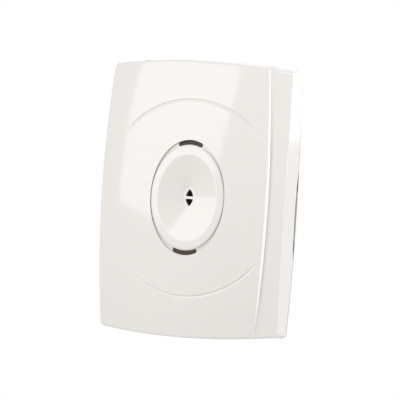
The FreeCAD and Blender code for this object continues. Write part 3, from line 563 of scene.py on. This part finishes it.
def make_finishes():
    """The finishes of the tables and of the two large mouldings, by name."""
    finishes = {name: plain(name, *values) for name, values in MOULDINGS.items()}
    for name, values in METALS.items():
        finishes[name] = plain(name, *values, Metallic=1.0)
    # The shell gets painted shade at the ridge's foot, and the plate gets it in its rim at the
    # sides
    finishes["glossy_shell"] = shell_plastic(
        "glossy_shell", SHELL_WHITE, roughness=0.10, waviness=0.0012 * MM, grain=0.0004 * MM,
        crease_shade=0.6, mask=ridge_foot)
    finishes["satin_plate"] = shell_plastic(
        "satin_plate", PLATE_WHITE, roughness=0.38, waviness=0.002 * MM, grain=0.006 * MM,
        crease_shade=0.95, mask=rim_sides)
    return finishes


def set_material(material, *names):
    """Give CAD nodes a material in place of their own."""
    for name in names:
        mesh = nodes[name].data
        mesh.materials.clear()
        mesh.materials.append(material)


def dress_nodes(finishes):
    """A material for every CAD node."""
    for finish_name, names in NODE_FINISHES.items():
        set_material(finishes[finish_name], *names)
    # Both windows are one smoked plastic; the lower one's lighter tone is painted light, as if lit
    # from behind
    set_material(smoked_plastic("upper_smoke", (0.030, 0.014, 0.007)), "upper_window")
    set_material(smoked_plastic("lower_smoke_painted_light", (0.105, 0.076, 0.054)), "lower_window")
    set_material(lens("red_lens", (0.62, 0.015, 0.010)), "upper_lamp")
    set_material(lens("green_lens", (0.030, 0.42, 0.060)), "lower_lamp")
    set_material(board_laminate(), "circuit_board")
    for name, node_name, colour, roughness, mask in (
            ("processor_case", "processor", CASE_BLACK, 0.46, beside("processor", "X", 3.76 * MM)),
            ("amplifier_case", "amplifier", CASE_BLACK, 0.46, beside("amplifier", "X", 1.96 * MM)),
            ("regulator_case", "voltage_regulator", CASE_BLACK, 0.44, regulator_metal),
            ("suppressor_coat", "surge_suppressor", (0.72, 0.30, 0.035), 0.32, below_disc)):
        set_material(part_metal(name, colour, roughness, mask), node_name)
    for name in CAPACITORS:
        set_material(sleeved_can(name), name)
    for name, node_name, colour in (("resistor_chip", "chip_resistors", CASE_BLACK),
                                    ("capacitor_chip", "chip_capacitors", (0.36, 0.27, 0.18))):
        set_material(chip_ceramic(name, node_name, colour), node_name)


def add_piece(name, mesh, finish, body, smooth=False, bevel=0.0):
    """Object from a bmesh, with its finish and the body that it rides on."""
    bmesh.ops.recalc_face_normals(mesh, faces=mesh.faces)
    data = bpy.data.meshes.new(name)
    mesh.to_mesh(data)
    mesh.free()
    data.materials.append(finish)
    for polygon in data.polygons:
        polygon.use_smooth = smooth
    piece = bpy.data.objects.new(name, data)
    bpy.context.scene.collection.objects.link(piece)
    if bevel:
        edge = piece.modifiers.new("edges", "BEVEL")
        edge.width = bevel
        edge.segments = 2
        edge.limit_method = "ANGLE"
    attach(piece, body)


def prism(mesh, outline, rear, front):
    """Closed prism along Y over an outline of (x, z) points."""
    back = [mesh.verts.new((x, rear, z)) for x, z in outline]
    top = [mesh.verts.new((x, front, z)) for x, z in outline]
    mesh.faces.new(back)
    mesh.faces.new(top[::-1])
    for i in range(len(outline)):
        j = (i + 1) % len(outline)
        mesh.faces.new((back[i], top[i], top[j], back[j]))


def pad(mesh, place, width, height, cut):
    """Copper pad on the board's front, its corners cut by a share of half its shorter side."""
    w = width / 2
    h = height / 2
    c = cut * min(w, h)
    corners = ((w - c, -h), (w, c - h), (w, h - c), (w - c, h),
               (c - w, h), (-w, h - c), (-w, c - h), (c - w, -h))
    prism(mesh, [moved(place, *corner) for corner in corners], BOARD_FRONT + EMBED,
          BOARD_FRONT - COPPER_RISE)


def lathe(mesh, x, z, profile, segments):
    """Closed round form about an axis along Y, with a (radius, y) profile from axis to axis."""
    start = mesh.verts.new((x, profile[0][1], z))
    end = mesh.verts.new((x, profile[-1][1], z))
    rings = [[mesh.verts.new((a, y, b)) for a, b in ring((x, z), segments, r, r)]
             for r, y in profile[1:-1]]
    for i in range(segments):
        j = (i + 1) % segments
        mesh.faces.new((start, rings[0][i], rings[0][j]))
        mesh.faces.new((end, rings[-1][j], rings[-1][i]))
        for a, b in zip(rings, rings[1:]):
            mesh.faces.new((a[i], b[i], b[j], a[j]))


def button(mesh, place, base, steps, radius=MM, rise=-MM, segments=16):
    """Round form on a plane at y = base, let into it by EMBED.

    Its steps are multiples of the radius and of the rise, which is below 0 towards the front."""
    foot = base - math.copysign(EMBED, rise)
    wide = steps[0][0] * radius
    profile = [(share * radius, base + height * rise) for share, height in steps]
    lathe(mesh, *place, [(0, foot), (wide, foot), *profile], segments)


def offsets(path, half, closed):
    """Points at both sides of a path in the X-Z plane, mitred at its corners."""
    count = len(path)
    sides = []
    for i, (x, z) in enumerate(path):
        before = path[i - 1] if i or closed else path[i]
        after = path[(i + 1) % count] if i + 1 < count or closed else path[i]
        into = Vector((x - before[0], z - before[1])).normalized() if before != path[i] else None
        out = Vector((after[0] - x, after[1] - z)).normalized() if after != path[i] else None
        along = (into or out) + (out or into)
        across = Vector((-along.y, along.x)).normalized()
        square = Vector((-(into or out).y, (into or out).x))
        reach = half / max(1 / LONGEST_MITRE, abs(across.dot(square)))
        sides.append(((x + across.x * reach, z + across.y * reach),
                      (x - across.x * reach, z - across.y * reach)))
    return sides


def ridge_along(mesh, path, width, root, top, closed=False):
    """Raised line along a path; root and top give y at each point of the path."""
    rows = []
    for left, right in offsets(path, width / 2, closed):
        rows.append([mesh.verts.new((p[0], y, p[1])) for p, y in
                     ((left, root(*left)), (left, top(*left)),
                      (right, top(*right)), (right, root(*right)))])
    following = rows[1:] + rows[:1] if closed else rows[1:]
    for a, b in zip(rows, following):
        for i in range(4):
            j = (i + 1) % 4
            mesh.faces.new((a[i], a[j], b[j], b[i]))
    if not closed:
        mesh.faces.new(rows[0][::-1])
        mesh.faces.new(rows[-1])


def printed_line(mesh, path, width, rise, closed=False):
    """Line of even thickness on the board's front."""
    ridge_along(mesh, path, width, lambda x, z: BOARD_FRONT + EMBED,
                lambda x, z: BOARD_FRONT - rise, closed)


def elbow(start, end, diagonal_first=True):
    """Route between two points with a diagonal and a straight stretch, as board makers draw it."""
    dx = end[0] - start[0]
    dz = end[1] - start[1]
    run = min(abs(dx), abs(dz))
    step = (math.copysign(run, dx), math.copysign(run, dz))
    knee = moved(start, *step) if diagonal_first else (end[0] - step[0], end[1] - step[1])
    route = [start, knee, end]
    return [p for i, p in enumerate(route) if not i or math.dist(p, route[i - 1]) > SAME_PLACE]


def pin_rows(name, count, reach):
    """Feet of a circuit's pins: the left row from the top down, then the right row."""
    rows = spread(count, HOLE_PITCH / 2)
    return [[near(name, side * reach, -place) for place in rows] for side in (-1, 1)]


def chip_feet(name, count):
    """Upper and lower ends of a row of chips."""
    end = 1.0 * MM
    row = spread(count, CHIP_PITCH)
    return [[near(name, place, side * end) for place in row] for side in (1, -1)]


processor_left, processor_right = pin_rows("processor", 10, 4.9 * MM)
amplifier_left, amplifier_right = pin_rows("amplifier", 4, 3.1 * MM)
resistor_top, resistor_foot = chip_feet("chip_resistors", 6)
ceramic_top, ceramic_foot = chip_feet("chip_capacitors", 5)


def terminal_pins():
    """Pins of the terminal block, from the left."""
    return [near("terminal_block", place) for place in spread(6, TERMINAL_PITCH)]


def switch_feet(side):
    """Feet of the four-lever switch along its upper (1) or lower (-1) side."""
    return [near("dip_switch_body", place, side * 3.75 * MM) for place in spread(4, HOLE_PITCH)]


def tamper_feet():
    """Feet of the tamper switch, the two on the left first."""
    return [near("tamper_switch", a * 3.6 * MM, b * 2.25 * MM) for a in (-1, 1) for b in (-1, 1)]


def pins(name):
    """Where the pins of a part in the table go through the board."""
    return [near(name, right * MM, up * MM) for right, up in PINS[name]]


def through_pins():
    """Every place where a pin comes out at the back of the board."""
    places = terminal_pins() + switch_feet(1) + switch_feet(-1) + tamper_feet()
    for name in PINS:
        places += pins(name)
    return places


def add_solder(tin):
    """Solder at the back of the board, round every pin."""
    widest = 0.8 * MM
    share_of_gap = 0.45
    mesh = bmesh.new()
    places = through_pins()
    for place in places:
        nearest = min(math.dist(place, other) for other in places if other != place)
        radius = min(widest, share_of_gap * nearest)
        button(mesh, place, BOARD_REAR, SOLDER_STEPS, radius, rise=MM)
    add_piece("solder_joints", mesh, tin, "base", smooth=True)


def add_pads(tin):
    """Tinned pads that stand out from under the surface parts, and solder round switch legs."""
    lo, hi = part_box("voltage_regulator")
    x = middle("voltage_regulator")[0]
    diode_ends = [near("protection_diodes", place + side * 2.2 * MM)
                  for place in spread(2, DIODE_PITCH) for side in (-1, 1)]
    regulator_tab = [(x, hi[2] - 1.2 * MM)]
    regulator_legs = [(x + place, lo[2] + 0.3 * MM) for place in spread(3, REGULATOR_PITCH)]
    mesh = bmesh.new()
    # Places, width and height in mm, and the share that the corners are cut by
    for places, width, height, cut in (
            (processor_left + processor_right + amplifier_left + amplifier_right, 1.5, 0.62, 0.3),
            (resistor_top + resistor_foot + ceramic_top + ceramic_foot, 1.5, 0.9, 0.3),
            (diode_ends, 1.3, 2.4, 0.2),
            (regulator_tab, 6.4, 3.4, 0.2),
            (regulator_legs, 1.3, 1.8, 0.3)):
        for place in places:
            pad(mesh, place, width * MM, height * MM, cut)
    for place in switch_feet(1) + switch_feet(-1) + tamper_feet():
        button(mesh, place, BOARD_FRONT, FOOT_STEPS)
    add_piece("board_pads", mesh, tin, "base")


def thin_routes():
    """Copper lines between the circuits, the chips and the two switches."""
    routes = [elbow(resistor_foot[foot], processor_right[i])
              for i, foot in ((0, 0), (2, 1), (3, 2), (4, 3))]
    routes += [elbow(processor_right[i], ceramic_top[top], False)
               for i, top in ((7, 0), (6, 1), (5, 2))]
    routes += [elbow(ceramic_foot[foot], amplifier_left[i])
               for i, foot in ((0, 4), (1, 3), (2, 2), (3, 1))]
    routes += [elbow(foot, resistor_top[i + 2]) for i, foot in enumerate(switch_feet(-1))]
    routes += [elbow(processor_right[i], near("crystal", side * 0.9 * MM))
               for i, side in ((9, -1), (8, 1))]
    routes.append(elbow(tamper_feet()[2], near("tamper_switch", 6.4 * MM, -6.0 * MM)))
    routes.append(elbow(tamper_feet()[0], moved(processor_left[4], -1.6 * MM)))
    routes += [elbow(processor_left[i], moved(processor_left[i], -2.4 * MM, -5.0 * MM))
               for i in (5, 7)]
    return routes


def broad_routes():
    """Copper lines from the terminals and of the supply."""
    terminals = terminal_pins()
    diode_z = middle("protection_diodes")[1]
    regulator_foot = (middle("voltage_regulator")[0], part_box("voltage_regulator")[0][2])
    ends = ((terminals[5], near("alarm_relay", -3.4 * MM, -6.0 * MM)),
            (terminals[4], near("protection_diodes", 5.2 * MM)),
            (terminals[3], near("protection_diodes", -5.2 * MM)),
            (terminals[2], (terminals[2][0], diode_z + 1.0 * MM)),
            (terminals[1], near("crystal", 2.2 * MM, -8.0 * MM)),
            (terminals[0], pins("capacitor_2")[1]),
            (pins("surge_suppressor")[1], middle("capacitor_1")),
            (moved(regulator_foot, REGULATOR_PITCH), pins("alarm_relay")[2]),
            (regulator_foot, (regulator_foot[0], ceramic_top[0][1] + 1.4 * MM)))
    return [elbow(start, end) for start, end in ends]


def add_traces():
    """Copper lines under the green lacquer."""
    lacquer = plain("lacquered_copper", (0.035, 0.215, 0.085), roughness=0.30, mottle=0.08,
                    mottle_size=2.0, grain=0.006, grain_size=0.5, gloss_spread=0.04,
                    Coat_Weight=0.5, Coat_Roughness=0.15)
    mesh = bmesh.new()
    for route in thin_routes():
        printed_line(mesh, route, TRACE_WIDTH, COPPER_RISE / 2)
    for route in broad_routes():
        printed_line(mesh, route, BROAD_TRACE_WIDTH, COPPER_RISE / 2)
    add_piece("board_lines", mesh, lacquer, "base")


def add_print(ink):
    """White printed outlines round the parts."""
    mesh = bmesh.new()
    for name, (aside, above) in OUTLINES.items():
        lo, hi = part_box(name)
        outline = rectangle(lo[0] - aside * MM, hi[0] + aside * MM,
                            lo[2] - above * MM, hi[2] + above * MM)
        printed_line(mesh, outline, PRINT_WIDTH, PRINT_RISE, closed=True)
    for name in (*CAPACITORS, "microphone_boot"):
        lo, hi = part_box(name)
        radius = (hi[0] - lo[0]) / 2 + RING_CLEARANCE
        outline = ring(middle(name), RING_POINTS, radius, radius)
        printed_line(mesh, outline, PRINT_WIDTH, PRINT_RISE, closed=True)
    add_piece("board_print", mesh, ink, "base")


def add_leg(mesh, root, foot, width, height):
    """Flat metal leg from a root at a height over the board, bent down at its foot."""
    half_thick = 0.125 * MM
    bend = 0.15 * MM
    along = Vector((foot[0] - root[0], foot[1] - root[1])).normalized()
    across = Vector((-along.y, along.x)) * width / 2
    length = math.dist(root, foot)
    top = BOARD_FRONT - height
    outer = length + half_thick
    inner = length - half_thick
    outline = [(0, top), (outer - bend, top), (outer, top + bend), (outer, BOARD_FRONT + EMBED),
               (inner, BOARD_FRONT + EMBED), (inner, top + 2 * half_thick),
               (0, top + 2 * half_thick)]
    sides = [[mesh.verts.new((root[0] + along.x * d + sign * across.x, y,
                              root[1] + along.y * d + sign * across.y)) for d, y in outline]
             for sign in (1, -1)]
    mesh.faces.new(sides[0])
    mesh.faces.new(sides[1][::-1])
    for i in range(len(outline)):
        j = (i + 1) % len(outline)
        mesh.faces.new((sides[0][i], sides[1][i], sides[1][j], sides[0][j]))


def add_switch_legs(tin):
    """Bent metal legs beside the four-lever switch and the tamper switch."""
    mesh = bmesh.new()
    root_off = 2.9 * MM
    switch_z = middle("dip_switch_body")[1]
    for side in (1, -1):
        for foot in switch_feet(side):
            root = (foot[0], switch_z + side * root_off)
            add_leg(mesh, root, foot, width=0.6 * MM, height=1.3 * MM)
    tamper_x = middle("tamper_switch")[0]
    for foot in tamper_feet():
        root = (tamper_x + math.copysign(root_off, foot[0] - tamper_x), foot[1])
        add_leg(mesh, root, foot, width=0.7 * MM, height=1.5 * MM)
    add_piece("switch_legs", mesh, tin, "base", bevel=0.03 * MM)


def add_can_tops(metal):
    """Bare aluminium tops of the capacitors, each with a scored cross between its quarters."""
    mesh = bmesh.new()
    bare_share = 0.72
    score = 0.09 * MM
    corner_off = math.sqrt(2) * score
    centre_off = 1.2 * score
    rise = 0.06 * MM
    depth = 0.2 * MM
    arc_steps = 8
    for name in CAPACITORS:
        lo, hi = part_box(name)
        radius = bare_share * (hi[0] - lo[0]) / 2 - score
        for start in (0, math.pi / 2, math.pi, 3 * math.pi / 2):
            diagonal = start + math.pi / 4
            corner = around(middle(name), diagonal, corner_off, corner_off)
            centre = around(middle(name), diagonal, centre_off, centre_off)
            arc = [around(centre, start + math.pi / 2 * k / arc_steps, radius, radius)
                   for k in range(arc_steps + 1)]
            prism(mesh, [corner] + arc, lo[1] + depth, lo[1] - rise)
    add_piece("capacitor_tops", mesh, metal, "base", bevel=0.02 * MM)


def add_marks(black):
    """Pin-one dimples on the two circuits, and the relay's vent nib."""
    mesh = bmesh.new()
    # The mark's place from the middle of its part and its radius, in mm
    for name, right, up, radius, steps in (("processor", -2.6, 5.2, 0.5, DIMPLE_STEPS),
                                           ("amplifier", -1.25, 1.75, 0.3, DIMPLE_STEPS),
                                           ("alarm_relay", 3.4, 5.9, 1.0, NIB_STEPS)):
        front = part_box(name)[0][1]
        button(mesh, near(name, right * MM, up * MM), front, steps, radius * MM, segments=20)
    add_piece("case_marks", mesh, black, "base")


def add_diode_ends(tin, ink):
    """Tinned straps round the ends of the diodes and a pale band across each."""
    strap_half = 0.95 * MM
    strap_off = 2.15 * MM
    strap_inward = 0.35 * MM
    strap_outward = 0.18 * MM
    strap_drop = 1.0 * MM
    band_half = 1.3 * MM
    band_left = 1.35 * MM
    band_width = 0.5 * MM
    band_rise = 0.02 * MM
    straps = bmesh.new()
    bands = bmesh.new()
    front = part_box("protection_diodes")[0][1]
    for place in spread(2, DIODE_PITCH):
        x, z = near("protection_diodes", place)
        for side in (-1, 1):
            end = x + side * strap_off
            x0, x1 = sorted((end - side * strap_inward, end + side * strap_outward))
            prism(straps, rectangle(x0, x1, z - strap_half, z + strap_half),
                  BOARD_FRONT - COPPER_RISE, front + strap_drop)
        left = x - band_left
        prism(bands, rectangle(left, left + band_width, z - band_half, z + band_half),
              front + EMBED, front - band_rise)
    add_piece("diode_straps", straps, tin, "base", bevel=0.05 * MM)
    add_piece("diode_bands", bands, ink, "base")


def add_terminal_ribs(green):
    """Raised ribs between the poles of the terminal block."""
    half = 0.2 * MM
    below_middle = 2.4 * MM
    short_of_top = 0.25 * MM
    depth = 0.1 * MM
    rise = 0.3 * MM
    mesh = bmesh.new()
    lo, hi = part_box("terminal_block")
    for place in spread(5, TERMINAL_PITCH):
        x, z = near("terminal_block", place)
        outline = rectangle(x - half, x + half, z - below_middle, hi[2] - short_of_top)
        prism(mesh, outline, lo[1] + depth, lo[1] - rise)
    add_piece("terminal_ribs", mesh, green, "base", bevel=0.06 * MM)


def add_felt(felt):
    """Dark felt washer in front of the microphone capsule, seen through the sound port."""
    mesh = bmesh.new()
    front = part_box("microphone_capsule")[0][1]
    button(mesh, middle("microphone_capsule"), front, FELT_STEPS, radius=2.62 * MM, segments=40)
    add_piece("microphone_felt", mesh, felt, "base", smooth=True)


def inner_face(x, z):
    """Where the cover's front wall has its inner face, looked for from inside the cover."""
    start = Vector((x, INSIDE_COVER_Y, z))
    return nodes["front_cover"].ray_cast(start, Vector((0, -1, 0)))[1].y


def add_cover_ribs(shell):
    """Stiffening ribs and ejector marks inside the cover."""
    mesh = bmesh.new()
    dish = middle("microphone_dish")
    rib_height = 1.2 * MM
    rib_steps = 14
    mark_radius = 1.5 * MM

    def rib(path, width, height, closed=False):
        """Rib of a width and height, let into the wall that it stands on."""
        ridge_along(mesh, path, width, lambda x, z: inner_face(x, z) - RIB_DEPTH,
                    lambda x, z: inner_face(x, z) + height, closed)

    # A collar round the dish, and a rib from it to each corner of the cover
    collar = ring(dish, 96, 14.4 * MM, 21.4 * MM)
    rib(collar, width=1.0 * MM, height=rib_height, closed=True)
    for sx, sz in ((-1, -1), (-1, 1), (1, -1), (1, 1)):
        start = Vector(moved(dish, sx * 10.6 * MM, sz * 14.9 * MM))
        end = Vector((sx * 24.5 * MM, sz * 37.5 * MM))
        path = [tuple(start.lerp(end, i / rib_steps)) for i in range(rib_steps + 1)]
        rib(path, width=0.9 * MM, height=rib_height)
    for x, z in EJECTOR_MARKS:
        mark = ring((x * MM, z * MM), 28, mark_radius, mark_radius)
        rib(mark, width=0.16 * MM, height=0.07 * MM, closed=True)
    add_piece("cover_ribs", mesh, shell, "cover")


def add_details(finishes):
    """The small things on the board, in front of the microphone and inside the cover."""
    tin = finishes["tinned_pins"]
    add_solder(tin)
    add_pads(tin)
    add_traces()
    add_print(finishes["white_print"])
    add_switch_legs(tin)
    add_can_tops(finishes["drawn_can"])
    add_marks(finishes["black_moulding"])
    add_diode_ends(tin, finishes["pale_band"])
    add_terminal_ribs(finishes["terminal_green"])
    add_felt(finishes["dark_felt"])
    add_cover_ribs(finishes["glossy_shell"])


add_camera()
all_finishes = make_finishes()
dress_nodes(all_finishes)
add_details(all_finishes)
add_world(WORLD_FILL)
add_softbox("key_softbox", azimuth=-44, elevation=20, distance=1.3, width=1.61, height=1.41,
            radiance=1.85, roll=-9.8, shift=(0.542, 0.143))
add_softbox("right_softbox", azimuth=104, elevation=6, distance=1.1, width=0.36, height=1.2,
            radiance=3.3)
add_softbox("right_high_softbox", azimuth=66, elevation=45, distance=1.1, width=0.7, height=0.7,
            radiance=2.3)
add_softbox("rear_softbox", azimuth=160, elevation=15.4, distance=1.1, width=0.5, height=0.5,
            radiance=2.0)
add_floor()
bpy.context.scene.view_settings.view_transform = "Standard"
